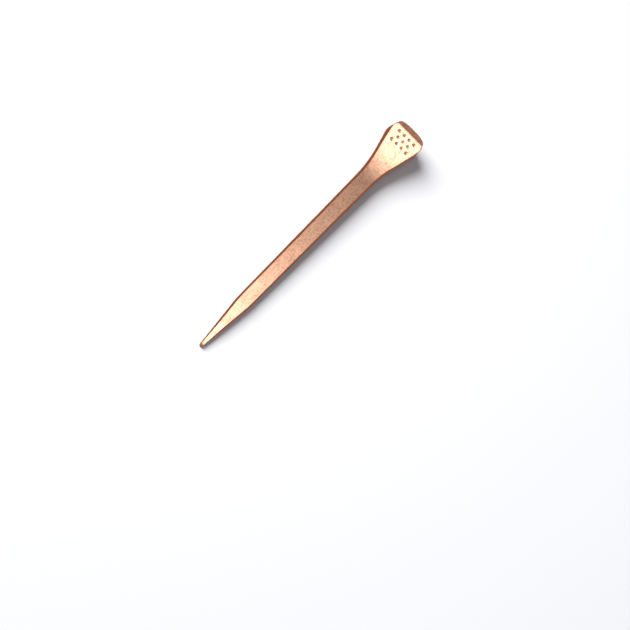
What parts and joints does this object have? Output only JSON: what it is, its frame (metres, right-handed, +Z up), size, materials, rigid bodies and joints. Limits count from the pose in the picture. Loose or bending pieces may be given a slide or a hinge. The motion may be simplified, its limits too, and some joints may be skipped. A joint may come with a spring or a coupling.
{
  "type": "horseshoe nail",
  "caption": "Slim horseshoe nail with a flared rectangular head, a tapering shank and a bevelled point, copper plated.",
  "frame": {"origin": "middle of the nail's box, on the surface that the nail lies on", "axes": "+X from the crown to the tip, +Z up, out of the marked face; the nail lies on its plain face, on the rim of the head and the tip"},
  "size_m": [0.05, 0.0062, 0.0046],
  "materials": {
    "copper_plate": "steel with a thin satin copper plating"
  },
  "bodies": {
    "root": {"nail": "copper_plate"}
  },
  "joints": []
}
